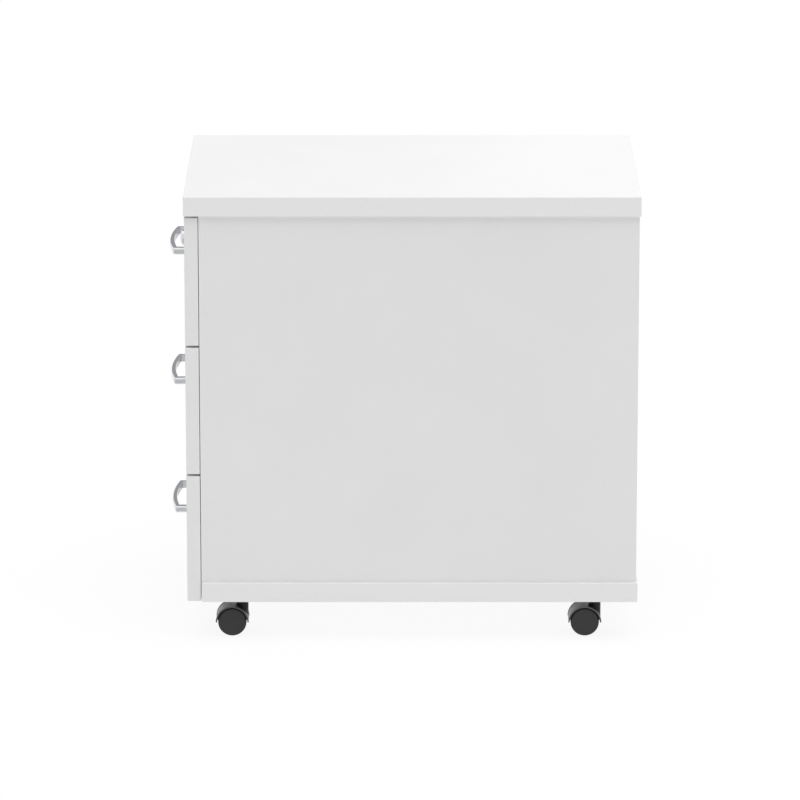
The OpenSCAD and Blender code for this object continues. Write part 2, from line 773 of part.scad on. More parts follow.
top_panel();
base_panel();
side_panel("left");  // left_side_panel
side_panel("right");  // right_side_panel
back_panel();
cam_fittings();
panel_dowels();
runner_rails("left");  // left_runner_rails
runner_rails("right");  // right_runner_rails
lock_housing();
lock_cylinder();
lock_crank();
lock_bar();
lock_bar_keepers();
caster_plates();
caster_screws();
for (i = [1:drawer_count]) {
    drawer_front(i);
    drawer_side(i, "left");
    drawer_side(i, "right");
    drawer_bottom(i);
    drawer_back(i);
    handle(i);
    handle_screws(i);
    rear_rollers(i);
    rail_rollers(i);
}
for (name = caster_names) {
    caster_hood(name);
    caster_axle(name);
    caster_wheel(name, "left");
    caster_wheel(name, "right");
}
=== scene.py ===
import math

import bmesh
import bpy
from mathutils import Matrix, Vector


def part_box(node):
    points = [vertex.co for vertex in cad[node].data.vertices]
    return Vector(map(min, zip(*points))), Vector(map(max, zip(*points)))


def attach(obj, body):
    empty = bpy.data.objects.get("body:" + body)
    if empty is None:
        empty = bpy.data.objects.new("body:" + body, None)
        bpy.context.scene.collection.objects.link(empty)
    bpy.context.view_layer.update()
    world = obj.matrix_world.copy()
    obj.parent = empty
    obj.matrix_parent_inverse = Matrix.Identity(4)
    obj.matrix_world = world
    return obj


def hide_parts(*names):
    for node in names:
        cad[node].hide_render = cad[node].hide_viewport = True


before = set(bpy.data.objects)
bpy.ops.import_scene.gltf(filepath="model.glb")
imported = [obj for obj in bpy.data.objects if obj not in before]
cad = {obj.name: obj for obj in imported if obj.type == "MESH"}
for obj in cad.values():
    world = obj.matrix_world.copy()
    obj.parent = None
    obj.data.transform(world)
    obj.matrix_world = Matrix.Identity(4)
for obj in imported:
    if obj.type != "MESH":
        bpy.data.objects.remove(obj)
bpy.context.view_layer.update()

# Top, base, side and back boards.
# Chipboard faced with white melamine and sawn to size; a white ABS band is glued round the
# sawn edges and its corners are rounded over. Cam fittings and dowels hold them together.
MM = 0.001
AXES = "XYZ"
TOP_ROUNDING = 0.6 * MM
BAND_ROUNDING = 0.25 * MM
BOARD_CORNER = 2 * MM
PANEL_CORNER = 1 * MM


def linear(code):
    """An sRGB hex colour as linear RGBA."""
    channels = [int(code[k:k + 2], 16) / 255 for k in (1, 3, 5)]
    return [c / 12.92 if c <= 0.04045 else ((c + 0.055) / 1.055) ** 2.4 for c in channels] + [1]


def new_material(name):
    """A material with an empty node tree."""
    material = bpy.data.materials.new(name)
    material.use_nodes = True
    material.node_tree.nodes.clear()
    return material, material.node_tree


def add_node(tree, kind, settings=None, links=None):
    """Adds a node, sets its options and input values, and links its inputs."""
    node = tree.nodes.new(kind)
    for name, value in (settings or {}).items():
        if isinstance(name, int) or name in node.inputs:
            node.inputs[name].default_value = value
        else:
            setattr(node, name, value)
    for name, socket in (links or {}).items():
        tree.links.new(socket, node.inputs[name])
    return node


# Melamine facing: resin-soaked paper pressed against a finely pitted plate. An even satin
# white, with a pearl in the gloss. The real pits are about 0.5 mm; 2 mm is drawn, to show.
melamine, tree = new_material("melamine_facing")
place = add_node(tree, "ShaderNodeTexCoord").outputs["Object"]
pearl = add_node(tree, "ShaderNodeTexNoise",
                 {"Scale": 1 / (2 * MM), "Detail": 3, "Roughness": 0.6}, {"Vector": place})
cloud = add_node(tree, "ShaderNodeTexNoise", {"Scale": 1 / (120 * MM), "Detail": 2},
                 {"Vector": place})
tint = add_node(tree, "ShaderNodeMix",
                {"data_type": "RGBA", 6: linear("#e4e4e4"), 7: linear("#e9e9e9")},
                {0: cloud.outputs["Fac"]})
gloss = add_node(tree, "ShaderNodeMapRange", {"To Min": 0.42, "To Max": 0.56},
                 {"Value": pearl.outputs["Fac"]})
pits = add_node(tree, "ShaderNodeBump", {"Strength": 0.3, "Distance": 0.06 * MM},
                {"Height": pearl.outputs["Fac"]})
shader = add_node(tree, "ShaderNodeBsdfPrincipled", {"IOR": 1.5},
                  {"Base Color": tint.outputs[2], "Roughness": gloss.outputs["Result"],
                   "Normal": pits.outputs["Normal"]})
add_node(tree, "ShaderNodeOutputMaterial", links={"Surface": shader.outputs["BSDF"]})

# ABS edge band: extruded strip, trimmed flush. Smoother than the facing, with a faint ripple
# from the trimming cutter, drawn 3 mm across so that it shows.
edging, tree = new_material("abs_edge_band")
place = add_node(tree, "ShaderNodeTexCoord").outputs["Object"]
drawn = add_node(tree, "ShaderNodeTexNoise", {"Scale": 1 / (3 * MM), "Detail": 2},
                 {"Vector": place})
tint = add_node(tree, "ShaderNodeMix",
                {"data_type": "RGBA", 6: linear("#e8e8e8"), 7: linear("#ededed")},
                {0: drawn.outputs["Fac"]})
gloss = add_node(tree, "ShaderNodeMapRange", {"To Min": 0.33, "To Max": 0.43},
                 {"Value": drawn.outputs["Fac"]})
ripple = add_node(tree, "ShaderNodeBump", {"Strength": 0.2, "Distance": 0.04 * MM},
                  {"Height": drawn.outputs["Fac"]})
shader = add_node(tree, "ShaderNodeBsdfPrincipled", {"IOR": 1.52},
                  {"Base Color": tint.outputs[2], "Roughness": gloss.outputs["Result"],
                   "Normal": ripple.outputs["Normal"]})
add_node(tree, "ShaderNodeOutputMaterial", links={"Surface": shader.outputs["BSDF"]})


def add_piece(name, bm, surfaces, body, nodes=()):
    """Turns a finished bmesh into a piece that rides on a body and stands for CAD nodes."""
    mesh = bpy.data.meshes.new(name)
    bm.to_mesh(mesh)
    bm.free()
    for surface in surfaces:
        mesh.materials.append(surface)
    for face in mesh.polygons:
        face.use_smooth = True
    piece = bpy.data.objects.new(name, mesh)
    bpy.context.scene.collection.objects.link(piece)
    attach(piece, body)
    if nodes:
        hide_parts(*nodes)
    return piece


def soften(piece, radius, segments=3, angle=35):
    """Rounds a piece's sharp edges and keeps its flats flat."""
    rounding = piece.modifiers.new("rounding", "BEVEL")
    rounding.width = radius
    rounding.segments = segments
    rounding.limit_method = "ANGLE"
    rounding.angle_limit = math.radians(angle)
    flats = piece.modifiers.new("flats", "WEIGHTED_NORMAL")
    flats.weight = 100


def crisp(piece, angle=35):
    """Keeps the sharp edges of a piece that isn't rounded."""
    piece.data.set_sharp_from_angle(angle=math.radians(angle))


def rounded_outline(low, high, radius, steps=6):
    """Points round a rectangle with round corners."""
    left, right = low[0] + radius, high[0] - radius
    bottom, top = low[1] + radius, high[1] - radius
    points = []
    for turn, (x, y) in enumerate(((right, top), (left, top), (left, bottom), (right, bottom))):
        for k in range(steps + 1):
            a = math.radians(90 * turn + 90 * k / steps)
            points.append((x + radius * math.cos(a), y + radius * math.sin(a)))
    return points


def prism(outline, axis, span):
    """A solid of one outline, drawn across the other two axes and run along this one."""
    bm = bmesh.new()
    ends = []
    for level in span:
        ring = []
        for point in outline:
            place = list(point)
            place.insert(AXES.index(axis), level)
            ring.append(bm.verts.new(place))
        ends.append(ring)
        bm.faces.new(ring)
    for k in range(len(outline)):
        j = (k + 1) % len(outline)
        bm.faces.new((ends[0][k], ends[0][j], ends[1][j], ends[1][k]))
    bmesh.ops.recalc_face_normals(bm, faces=bm.faces)
    return bm


def add_board(node, flat, corner, body, band, rounding):
    """A melamine board in a CAD board's place, with its edge band rounded over."""
    low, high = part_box(node)
    thin = AXES.index(flat)
    across = [k for k in range(3) if k != thin]
    bm = prism(rounded_outline([low[k] for k in across], [high[k] for k in across], corner),
               flat, (low[thin], high[thin]))
    for face in bm.faces:
        face.material_index = 0 if abs(face.normal[thin]) > 0.9 else 1
    soften(add_piece(node + "_board", bm, [melamine, band], body, [node]), rounding)


add_board("top_panel", "Z", BOARD_CORNER, "carcass", edging, TOP_ROUNDING)
add_board("base_panel", "Z", BOARD_CORNER, "carcass", edging, BAND_ROUNDING)
add_board("left_side_panel", "X", PANEL_CORNER, "carcass", edging, BAND_ROUNDING)
add_board("right_side_panel", "X", PANEL_CORNER, "carcass", edging, BAND_ROUNDING)
add_board("back_panel", "Y", PANEL_CORNER, "carcass", edging, BAND_ROUNDING)

# Cam fittings and dowels.
# Die-cast zinc cams let into the inner faces of the side panels, with a thin flange and a
# cross recess for the driver. The steel bolts and beech dowels are out of sight in the boards.
CAM_RADIUS = 7.5 * MM
CAM_FLANGE = 8.3 * MM
CAM_PROUD = 0.5 * MM
CAM_DEPTH = 3 * MM
CAM_BEVEL = 0.2 * MM
CAM_CROSS_ARM = 5 * MM
CAM_CROSS_HALF = 0.9 * MM
CAM_CROSS_DEPTH = 2 * MM
CAM_FROM_END = 34 * MM
CAM_FROM_EDGE = 60 * MM


def lathe(profile, steps=48):
    """A solid turned about Z from (radius, height) points; radius 0 closes an end."""
    bm = bmesh.new()
    rings = []
    for radius, height in profile:
        count = steps if radius else 1
        rings.append([bm.verts.new((radius * math.cos(2 * math.pi * k / count),
                                    radius * math.sin(2 * math.pi * k / count), height))
                      for k in range(count)])
    for low, high in zip(rings, rings[1:]):
        for k in range(steps):
            j = (k + 1) % steps
            corners = [low[k % len(low)], low[j % len(low)],
                       high[j % len(high)], high[k % len(high)]]
            bm.faces.new(list(dict.fromkeys(corners)))
    bmesh.ops.recalc_face_normals(bm, faces=bm.faces)
    return bm


def cut_cross(bm, arm, half, floor, top):
    """The solid as a mesh, with a cross of this arm and half width cut into it from above."""
    solids = []
    outline = [(half, half), (half, arm), (-half, arm), (-half, half),
               (-arm, half), (-arm, -half), (-half, -half), (-half, -arm),
               (half, -arm), (half, -half), (arm, -half), (arm, half)]
    for shape in (bm, prism(outline, "Z", (floor, top))):
        mesh = bpy.data.meshes.new("blank")
        shape.to_mesh(mesh)
        shape.free()
        solids.append(bpy.data.objects.new("blank", mesh))
        bpy.context.scene.collection.objects.link(solids[-1])
    cut = solids[0].modifiers.new("cross", "BOOLEAN")
    cut.operation = "DIFFERENCE"
    cut.solver = "EXACT"
    cut.object = solids[1]
    graph = bpy.context.evaluated_depsgraph_get()
    carved = bpy.data.meshes.new_from_object(solids[0].evaluated_get(graph))
    for solid in solids:
        bpy.data.objects.remove(solid)
    return carved


def copies(mesh, places):
    """One bmesh with a copy of a mesh at each place."""
    bm = bmesh.new()
    for place in places:
        first = len(bm.verts)
        bm.from_mesh(mesh)
        bm.verts.ensure_lookup_table()
        bmesh.ops.transform(bm, matrix=place, verts=bm.verts[first:])
    return bm


def facing(direction, x, y, z):
    """A place at a point, with Z turned to a direction."""
    turn = Vector(direction).to_track_quat("Z", "Y").to_matrix().to_4x4()
    return Matrix.Translation((x, y, z)) @ turn


# Zinc: plated or die-cast, dull and bluish, with a faint spangle of about 1.5 mm in its gloss.
zinc, tree = new_material("zinc_plate")
place = add_node(tree, "ShaderNodeTexCoord").outputs["Object"]
spangle = add_node(tree, "ShaderNodeTexVoronoi", {"Scale": 1 / (1.5 * MM)}, {"Vector": place})
tint = add_node(tree, "ShaderNodeMix",
                {"data_type": "RGBA", 6: linear("#a9adb1"), 7: linear("#bcc0c3")},
                {0: spangle.outputs["Distance"]})
gloss = add_node(tree, "ShaderNodeMapRange", {"To Min": 0.3, "To Max": 0.46},
                 {"Value": spangle.outputs["Distance"]})
shader = add_node(tree, "ShaderNodeBsdfPrincipled", {"Metallic": 1},
                  {"Base Color": tint.outputs[2], "Roughness": gloss.outputs["Result"]})
add_node(tree, "ShaderNodeOutputMaterial", links={"Surface": shader.outputs["BSDF"]})

# Beech: pale turned wood, with fine growth lines along the dowel.
beech, tree = new_material("beech")
place = add_node(tree, "ShaderNodeTexCoord").outputs["Object"]
rings = add_node(tree, "ShaderNodeTexWave", {"Scale": 1 / (12 * MM), "Distortion": 2, "Detail": 2},
                 {"Vector": place})
tint = add_node(tree, "ShaderNodeMix",
                {"data_type": "RGBA", 6: linear("#d9b583"), 7: linear("#c79f6a")},
                {0: rings.outputs["Fac"]})
shader = add_node(tree, "ShaderNodeBsdfPrincipled", {"Roughness": 0.6},
                  {"Base Color": tint.outputs[2]})
add_node(tree, "ShaderNodeOutputMaterial", links={"Surface": shader.outputs["BSDF"]})


def finish(node, material, rounding=0):
    """Gives a CAD node its material, and rounds its sharp edges where they show."""
    cad[node].data.materials.clear()
    cad[node].data.materials.append(material)
    if rounding:
        cad[node].modifiers.new("weld", "WELD").merge_threshold = 0.001 * MM
        soften(cad[node], rounding, 2)


side_low, side_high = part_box("right_side_panel")
cam = cut_cross(lathe([(0, -CAM_DEPTH), (CAM_RADIUS, -CAM_DEPTH), (CAM_RADIUS, 0),
                       (CAM_FLANGE, 0), (CAM_FLANGE - CAM_BEVEL, CAM_PROUD), (0, CAM_PROUD)]),
                CAM_CROSS_ARM, CAM_CROSS_HALF, -CAM_CROSS_DEPTH, 2 * CAM_PROUD)
cam_places = [facing((-side, 0, 0), side * side_low.x, y, z)
              for side in (-1, 1)
              for y in (side_low.y + CAM_FROM_EDGE, side_high.y - CAM_FROM_EDGE)
              for z in (side_low.z + CAM_FROM_END, side_high.z - CAM_FROM_END)]
crisp(add_piece("cam_heads", copies(cam, cam_places), [zinc], "carcass"))
finish("cam_fittings", zinc)
finish("panel_dowels", beech)

# Runner rails.
# Roll-formed steel channels with a white epoxy coat, screwed to the side panels from inside.
# Each has a pressed stop, and a roller on a riveted pin at its front end.
SCREW_HEAD_RADIUS = 3.4 * MM
SCREW_HEAD_RIM = 0.4 * MM
SCREW_HEAD_DOME = 1.3 * MM
SCREW_DOME_STEPS = [(0.85, 0.9 * MM), (0.5, 1.2 * MM)]
SCREW_CROSS_ARM = 2 * MM
SCREW_CROSS_HALF = 0.45 * MM
RAIL_SHEET = 1.5 * MM
RAIL_ROUNDING = 0.3 * MM
RAIL_SCREWS_FROM_FRONT = [90 * MM, 250 * MM, 420 * MM]

# Epoxy powder coat on sheet steel: off-white, half gloss, with the slight orange peel of a
# stoved coat, about 2 mm across.
powder_coat, tree = new_material("epoxy_powder_coat")
place = add_node(tree, "ShaderNodeTexCoord").outputs["Object"]
peel = add_node(tree, "ShaderNodeTexNoise", {"Scale": 1 / (2 * MM), "Detail": 1}, {"Vector": place})
tint = add_node(tree, "ShaderNodeMix",
                {"data_type": "RGBA", 6: linear("#dcdddd"), 7: linear("#e2e3e3")},
                {0: peel.outputs["Fac"]})
gloss = add_node(tree, "ShaderNodeMapRange", {"To Min": 0.26, "To Max": 0.36},
                 {"Value": peel.outputs["Fac"]})
dimples = add_node(tree, "ShaderNodeBump", {"Strength": 0.3, "Distance": 0.08 * MM},
                   {"Height": peel.outputs["Fac"]})
shader = add_node(tree, "ShaderNodeBsdfPrincipled", {"IOR": 1.5},
                  {"Base Color": tint.outputs[2], "Roughness": gloss.outputs["Result"],
                   "Normal": dimples.outputs["Normal"]})
add_node(tree, "ShaderNodeOutputMaterial", links={"Surface": shader.outputs["BSDF"]})

dome = [(share * SCREW_HEAD_RADIUS, height) for share, height in SCREW_DOME_STEPS]
screw_head = cut_cross(lathe([(0, 0), (SCREW_HEAD_RADIUS, 0), (SCREW_HEAD_RADIUS, SCREW_HEAD_RIM)]
                             + dome + [(0, SCREW_HEAD_DOME)], 24),
                       SCREW_CROSS_ARM, SCREW_CROSS_HALF, SCREW_HEAD_RIM, 2 * SCREW_HEAD_DOME)
rail_screws = []
for side, name in ((-1, "left"), (1, "right")):
    finish(name + "_runner_rails", powder_coat, RAIL_ROUNDING)
    rail_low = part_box(name + "_runner_rails")[0]
    for drawer in (1, 2, 3):
        roller_low, roller_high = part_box(f"drawer_{drawer}_rail_rollers")
        rail_screws += [facing((-side, 0, 0), side * (side_low.x - RAIL_SHEET), rail_low.y + y,
                               (roller_low.z + roller_high.z) / 2) for y in RAIL_SCREWS_FROM_FRONT]
crisp(add_piece("rail_screw_heads", copies(screw_head, rail_screws), [zinc], "carcass"))

# Rollers.
# White acetal wheels, moulded with a hub, a thin web and a rim, that turn on riveted steel
# pins: one pair on each drawer's rear end, one pair at the front of its rails.
ROLLER_WIDTH = 7 * MM
ROLLER_BORE = 2.6 * MM
ROLLER_HUB = 4.6 * MM
ROLLER_RIM = 1.6 * MM
ROLLER_RECESS = 1.6 * MM
ROLLER_ROUNDING = 0.3 * MM

# Acetal: moulded, slightly waxy white with an even low gloss and a faint mottle, about 4 mm.
acetal, tree = new_material("moulded_acetal")
place = add_node(tree, "ShaderNodeTexCoord").outputs["Object"]
mottle = add_node(tree, "ShaderNodeTexNoise", {"Scale": 1 / (4 * MM)}, {"Vector": place})
tint = add_node(tree, "ShaderNodeMix",
                {"data_type": "RGBA", 6: linear("#e6e6e2"), 7: linear("#efefec")},
                {0: mottle.outputs["Fac"]})
gloss = add_node(tree, "ShaderNodeMapRange", {"To Min": 0.3, "To Max": 0.42},
                 {"Value": mottle.outputs["Fac"]})
shader = add_node(tree, "ShaderNodeBsdfPrincipled", {"IOR": 1.48, "Subsurface Weight": 0.05},
                  {"Base Color": tint.outputs[2], "Roughness": gloss.outputs["Result"]})
add_node(tree, "ShaderNodeOutputMaterial", links={"Surface": shader.outputs["BSDF"]})


def roller(radius):
    """A roller with a hub, a recessed web on both faces and a rim, its axis along Z."""
    middle = ROLLER_WIDTH / 2
    web = middle - ROLLER_RECESS
    rim = radius - ROLLER_RIM
    face = [(ROLLER_BORE, middle), (ROLLER_HUB, middle), (ROLLER_HUB, web), (rim, web),
            (rim, middle), (radius, middle)]
    bm = lathe(face + [(r, -h) for r, h in reversed(face)] + face[:1])
    bmesh.ops.remove_doubles(bm, verts=bm.verts, dist=ROLLER_BORE / 1000)
    bmesh.ops.recalc_face_normals(bm, faces=bm.faces)
    mesh = bpy.data.meshes.new("roller")
    bm.to_mesh(mesh)
    bm.free()
    return mesh


for drawer in (1, 2, 3):
    for group in ("rear_rollers", "rail_rollers"):
        node = f"drawer_{drawer}_{group}"
        low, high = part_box(node)
        places = [facing((side, 0, 0), side * (high.x - ROLLER_WIDTH / 2), (low.y + high.y) / 2,
                         (low.z + high.z) / 2) for side in (-1, 1)]
        bm = copies(roller((high.z - low.z) / 2), places)
        soften(add_piece(node + "_wheels", bm, [acetal], node, [node]),
               ROLLER_ROUNDING)

# Drawer fronts.
# The same melamine-faced chipboard as the case, edged all round in the facing's own finish,
# with tight corners. The flanges of the drawer's sides are screwed to its inner face.
FRONT_CORNER = 0.6 * MM
FRONT_ROUNDING = 0.5 * MM
for drawer in (1, 2, 3):
    add_board(f"drawer_{drawer}_front", "Y", FRONT_CORNER, f"drawer_{drawer}",
              melamine, FRONT_ROUNDING)

# Drawer boxes.
# Folded steel sides with a rolled bead, powder coated, hooked round a melamine bottom and
# back, and screwed to the front through a flange.
FLANGE_SCREW_FROM_WALL = 13 * MM
FLANGE_SCREW_FROM_BOTTOM = 14 * MM
FLANGE_SCREW_FROM_TOP = 12 * MM
for drawer in (1, 2, 3):
    body = f"drawer_{drawer}"
    add_board(f"{body}_bottom", "Z", BOARD_CORNER, body, edging, BAND_ROUNDING)
    add_board(f"{body}_back", "Y", BOARD_CORNER, body, edging, BAND_ROUNDING)
    back_low, back_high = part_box(f"{body}_back")
    flange_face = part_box(f"{body}_front")[1].y + RAIL_SHEET
    flange_screws = []
    for side, name in ((-1, "left"), (1, "right")):
        finish(f"{body}_{name}_side", powder_coat, RAIL_ROUNDING)
        x = side * (back_high.x - FLANGE_SCREW_FROM_WALL)
        for z in (back_low.z + FLANGE_SCREW_FROM_BOTTOM, back_high.z - FLANGE_SCREW_FROM_TOP):
            flange_screws.append(facing((0, 1, 0), x, flange_face, z))
    crisp(add_piece(f"{body}_flange_screw_heads", copies(screw_head, flange_screws), [zinc],
                    body))

# Handles.
# Die-cast zinc bows, polished and chromed: a strip with rounded outer edges that turns a round
# corner into two thicker legs. A machine screw comes through the front into each leg.
HANDLE_CENTRES = 128 * MM
HANDLE_THICKNESS = 6.2 * MM
HANDLE_REACH = 26.5 * MM
LEG_THICKNESS = 8.5 * MM
BOW_RADIUS = 350 * MM
CORNER_RADIUS = 3 * MM
CROOK_RADIUS = 1 * MM
EDGE_RADIUS = 2.7 * MM
HANDLE_ROUNDING = 0.3 * MM
EDGE_STEPS, CORNER_STEPS, BOW_STEPS = 6, 12, 48
HANDLE_SCREW_RADIUS = 2 * MM
HANDLE_SCREW_HEAD = 4 * MM
PAN_CROSS_HALF = 0.5 * MM

# Bright chrome: a mirror with a cool tint; polishing leaves a slight waviness, about 8 mm.
chrome, tree = new_material("chrome_plate")
place = add_node(tree, "ShaderNodeTexCoord").outputs["Object"]
wave = add_node(tree, "ShaderNodeTexNoise", {"Scale": 1 / (8 * MM), "Detail": 1}, {"Vector": place})
tint = add_node(tree, "ShaderNodeMix",
                {"data_type": "RGBA", 6: linear("#d3d4d9"), 7: linear("#dadbe0")},
                {0: wave.outputs["Fac"]})
gloss = add_node(tree, "ShaderNodeMapRange", {"To Min": 0.05, "To Max": 0.12},
                 {"Value": wave.outputs["Fac"]})
shader = add_node(tree, "ShaderNodeBsdfPrincipled", {"Metallic": 1},
                  {"Base Color": tint.outputs[2], "Roughness": gloss.outputs["Result"]})
add_node(tree, "ShaderNodeOutputMaterial", links={"Surface": shader.outputs["BSDF"]})


def on_arc(centre, radius, angle):
    """The point of an arc at an angle."""
    return Vector((centre[0] + radius * math.cos(angle), centre[1] + radius * math.sin(angle)))


def handle_face(leg_x, corner, bow, middle):
    """One face of the handle in plan, as (point, direction): leg, corner and half the bow."""
    end = -math.acos((leg_x - corner) / (bow - corner))
    centre = (leg_x - corner, middle - math.sqrt((bow - corner) ** 2 - (leg_x - corner) ** 2))
    face = [(Vector((leg_x, 0)), 0)]
    face += [(on_arc(centre, corner, end * k / CORNER_STEPS), end * k / CORNER_STEPS)
             for k in range(CORNER_STEPS + 1)]
    for k in range(1, BOW_STEPS // 2 + 1):
        angle = end - (math.pi + 2 * end) * k / BOW_STEPS
        face.append((on_arc((0, middle), bow, angle), angle))
    return face


def bow_handle(height):
    """The handle's strip, swept along leg, corner, bow, corner and leg, with its feet at Y = 0."""
    leg_x = (HANDLE_CENTRES + LEG_THICKNESS) / 2
    middle = BOW_RADIUS + HANDLE_THICKNESS / 2 - HANDLE_REACH
    outside = handle_face(leg_x, CORNER_RADIUS, BOW_RADIUS + HANDLE_THICKNESS / 2, middle)
    inside = handle_face(leg_x - LEG_THICKNESS, CROOK_RADIUS, BOW_RADIUS - HANDLE_THICKNESS / 2,
                         middle)
    half = []
    for (outer, angle), (inner, _) in zip(outside, inside):
        loop = [(*inner, height / 2), (*inner, -height / 2)]
        for edge in (-1, 1):
            for k in range(EDGE_STEPS + 1):
                turn = math.pi / 2 * (k / EDGE_STEPS - (edge < 0))
                loop.append((*on_arc(outer, EDGE_RADIUS * (math.cos(turn) - 1), angle),
                             edge * (height / 2 - EDGE_RADIUS) + EDGE_RADIUS * math.sin(turn)))
        half.append(loop)
    bm = bmesh.new()
    loops = [[bm.verts.new(point) for point in loop] for loop in half]
    loops += [[bm.verts.new((-x, y, z)) for x, y, z in loop] for loop in reversed(half[:-1])]
    for near, far in zip(loops, loops[1:]):
        for k in range(len(near)):
            j = (k + 1) % len(near)
            bm.faces.new((near[k], near[j], far[j], far[k]))
    bm.faces.new(loops[0])
    bm.faces.new(loops[-1])
    bmesh.ops.recalc_face_normals(bm, faces=bm.faces)
    return bm


def pan_screw(shank, head, length, proud):
    """A screw with a low domed head and a driver's cross; the head's underside lies at Z = 0."""
    profile = [(0, -length), (shank, -length), (shank, 0), (head, 0), (head, 0.5 * proud),
               (0.75 * head, proud), (0, proud)]
    return cut_cross(lathe(profile, 32), 0.6 * head, PAN_CROSS_HALF, 0.4 * proud, 2 * proud)


for drawer in (1, 2, 3):
    body = f"drawer_{drawer}"
    low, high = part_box(f"{body}_handle")
    front_low, front_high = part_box(f"{body}_front")
    centre = (low.z + high.z) / 2
    bm = bow_handle(high.z - low.z)
    bmesh.ops.translate(bm, verts=bm.verts, vec=(0, front_low.y, centre))
    soften(add_piece(f"{body}_bow_handle", bm, [chrome], body, [f"{body}_handle"]),
           HANDLE_ROUNDING)
    screw_low, screw_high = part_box(f"{body}_handle_screws")
    screw = pan_screw(HANDLE_SCREW_RADIUS, HANDLE_SCREW_HEAD, front_high.y - screw_low.y,
                      screw_high.y - front_high.y)
    places = [facing((0, 1, 0), side * HANDLE_CENTRES / 2, front_high.y, centre)
              for side in (-1, 1)]
    crisp(add_piece(f"{body}_machine_screws", copies(screw, places), [zinc], body,
                    [f"{body}_handle_screws"]))

# Lock.
# A chromed die-cast housing through the top front, a steel cylinder with a keyway, a zinc
# crank behind it, and a steel bar in acetal keepers that the crank lifts to hook the drawers.
LOCK_ROUNDING = 0.4 * MM

# Bright steel: drawn bar with fine lines along it, drawn 1 mm apart so that they show.
bright_steel, tree = new_material("bright_steel")
place = add_node(tree, "ShaderNodeTexCoord").outputs["Object"]
stretch = add_node(tree, "ShaderNodeMapping", {"Scale": (1, 1, 0.05)}, {"Vector": place})
lines = add_node(tree, "ShaderNodeTexNoise", {"Scale": 1 / MM, "Detail": 2},
                 {"Vector": stretch.outputs[0]})
tint = add_node(tree, "ShaderNodeMix",
                {"data_type": "RGBA", 6: linear("#b9bbbd"), 7: linear("#c9cbcc")},
                {0: lines.outputs["Fac"]})
gloss = add_node(tree, "ShaderNodeMapRange", {"To Min": 0.2, "To Max": 0.34},
                 {"Value": lines.outputs["Fac"]})
shader = add_node(tree, "ShaderNodeBsdfPrincipled", {"Metallic": 1},
                  {"Base Color": tint.outputs[2], "Roughness": gloss.outputs["Result"]})
add_node(tree, "ShaderNodeOutputMaterial", links={"Surface": shader.outputs["BSDF"]})

finish("lock_housing", chrome, LOCK_ROUNDING)
finish("lock_cylinder", bright_steel, LOCK_ROUNDING / 2)
finish("lock_crank", zinc, LOCK_ROUNDING)
finish("lock_bar", bright_steel, LOCK_ROUNDING / 2)
finish("lock_bar_keepers", acetal, LOCK_ROUNDING)

# Casters.
# Zinc-plated plates screwed under the base carry the kingpins; black nylon hoods swivel on
# them, and two black nylon wheels turn on a steel axle through the web of each hood.
CASTER_TRAIL = 13.5 * MM
# Radius of the shade painted round the kingpin's stem, and the width of its soft edge.
STEM_SHADE_RADIUS = 8 * MM
STEM_SHADE_FADE = 0.2 * MM
WHEEL_EDGE = 1.2 * MM
WHEEL_SHOULDER = 2.6 * MM
WHEEL_RIM = 1 * MM
WHEEL_DISH = 0.4 * MM
WHEEL_HUB = 5.5 * MM
WHEEL_WALL = 3.6 * MM
WHEEL_HOLLOW = 5 * MM
WHEEL_DRAFT = 0.3 * MM
AXLE_HOLE = 2.55 * MM
AXLE_DEPTH = 8.5 * MM
ARC_STEPS = 6
WHEEL_ROUNDING = 0.15 * MM
HOOD_ROUNDING = 0.3 * MM
PLATE_ROUNDING = 0.3 * MM
PLATE_SCREW_RADIUS = 2 * MM
PLATE_SCREW_HEAD = 3.8 * MM
PLATE_SCREW_PROUD = 1.5 * MM
PLATE_SCREW_SPACING = 32 * MM

# Nylon: moulded black, with the fine spark texture of the mould, about 0.8 mm, in its sheen.
# Shade from the base above is painted onto the stem that takes the kingpin: it is darker and less
# glossy there.
hood_low, hood_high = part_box("caster_front_left_hood")
hood_nylon, tree = new_material("moulded_nylon_satin")
whole = add_node(tree, "ShaderNodeTexCoord").outputs["Generated"]
stem_axis = (0.5, 0.5 + CASTER_TRAIL / (hood_high.y - hood_low.y), 0)
beside = add_node(tree, "ShaderNodeVectorMath", {"operation": "SUBTRACT", 1: stem_axis}, {0: whole})
across = add_node(tree, "ShaderNodeVectorMath",
                  {"operation": "MULTIPLY",
                   1: (hood_high.x - hood_low.x, hood_high.y - hood_low.y, 0)},
                  {0: beside.outputs[0]})
away = add_node(tree, "ShaderNodeVectorMath", {"operation": "LENGTH"}, {0: across.outputs[0]})
# Painted shade: 1 inside a disc round the kingpin's axis, fading to 0 just outside it.
painted_stem_shade = add_node(tree, "ShaderNodeMapRange",
                {"From Min": STEM_SHADE_RADIUS + STEM_SHADE_FADE, "From Max": STEM_SHADE_RADIUS + 2 * STEM_SHADE_FADE,
                 "To Min": 1, "To Max": 0}, {"Value": away.outputs["Value"]})
place = add_node(tree, "ShaderNodeTexCoord").outputs["Object"]
spark = add_node(tree, "ShaderNodeTexNoise", {"Scale": 1 / (0.8 * MM), "Detail": 2},
                 {"Vector": place})
tint = add_node(tree, "ShaderNodeMix",
                {"data_type": "RGBA", 6: linear("#2b2b2c"), 7: linear("#333334")},
                {0: spark.outputs["Fac"]})
gloss = add_node(tree, "ShaderNodeMapRange", {"To Min": 0.3, "To Max": 0.42},
                 {"Value": spark.outputs["Fac"]})
grain = add_node(tree, "ShaderNodeBump", {"Strength": 0.2, "Distance": 0.04 * MM},
                 {"Height": spark.outputs["Fac"]})
